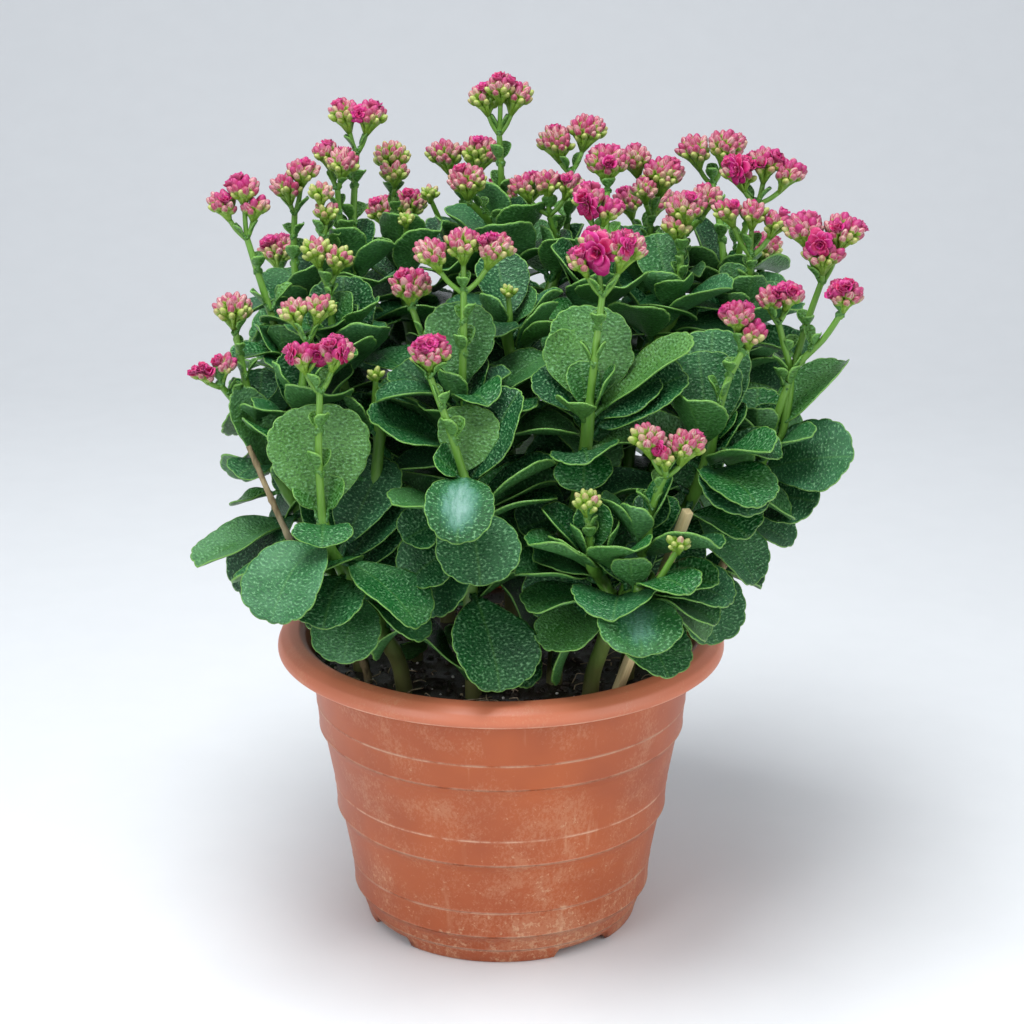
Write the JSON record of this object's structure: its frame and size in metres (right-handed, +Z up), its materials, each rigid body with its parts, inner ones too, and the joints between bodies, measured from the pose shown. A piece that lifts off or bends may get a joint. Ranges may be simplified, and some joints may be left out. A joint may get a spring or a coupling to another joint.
{
  "type": "potted kalanchoe",
  "caption": "Flowering kalanchoe with scalloped fleshy leaves and pink double flower heads in a round terracotta-coloured plastic pot with a rolled rim.",
  "frame": {"origin": "middle of the footprint on the surface that the pot stands on", "axes": "+Z up along the pot's axis, -Y towards the front, which is the side in the picture, +X to the viewer's right"},
  "size_m": [0.364, 0.3386, 0.4472],
  "materials": {
    "terracotta": "matte, slightly dusty",
    "soil": "rough, fibrous peat",
    "pale_wood": "sawn and weathered",
    "dry_bark": "dry bark",
    "leaf_green": "satin, waxy",
    "bud_pink": "soft satin petals"
  },
  "bodies": {
    "root": {"pot": "terracotta", "soil": "soil", "stake": "pale_wood", "dry_stalk": "dry_bark", "woody_stem": "dry_bark", "leafy_stem_01": "leaf_green", "leafy_stem_02": "leaf_green", "leafy_stem_03": "leaf_green", "leafy_stem_04": "leaf_green", "leafy_stem_05": "leaf_green", "leafy_stem_06": "leaf_green", "leafy_stem_07": "leaf_green", "leafy_stem_08": "leaf_green", "leafy_stem_09": "leaf_green", "leafy_stem_10": "leaf_green", "leafy_stem_11": "leaf_green", "leafy_stem_12": "leaf_green", "leafy_stem_13": "leaf_green", "leafy_stem_14": "leaf_green", "leafy_stem_15": "leaf_green", "leafy_stem_16": "leaf_green", "flower_head_01": "bud_pink", "flower_head_02": "bud_pink", "flower_head_03": "bud_pink", "flower_head_04": "bud_pink", "flower_head_05": "bud_pink", "flower_head_06": "bud_pink", "flower_head_07": "bud_pink", "flower_head_08": "bud_pink", "flower_head_09": "bud_pink", "flower_head_10": "bud_pink", "flower_head_11": "bud_pink", "flower_head_12": "bud_pink", "flower_head_13": "bud_pink", "flower_head_14": "bud_pink", "flower_head_15": "bud_pink", "flower_head_16": "bud_pink", "flower_head_17": "bud_pink", "flower_head_18": "bud_pink", "flower_head_19": "bud_pink", "flower_head_20": "bud_pink", "flower_head_21": "bud_pink", "flower_head_22": "bud_pink", "flower_head_23": "bud_pink", "flower_head_24": "bud_pink", "flower_head_25": "bud_pink", "flower_head_26": "bud_pink", "flower_head_27": "bud_pink", "flower_head_28": "bud_pink", "flower_head_29": "bud_pink", "flower_head_30": "bud_pink", "flower_head_31": "bud_pink", "flower_head_32": "bud_pink", "flower_head_33": "bud_pink", "flower_head_34": "bud_pink", "flower_head_35": "bud_pink", "flower_head_36": "bud_pink", "flower_head_37": "bud_pink", "flower_head_38": "bud_pink", "flower_head_39": "bud_pink"}
  },
  "joints": []
}
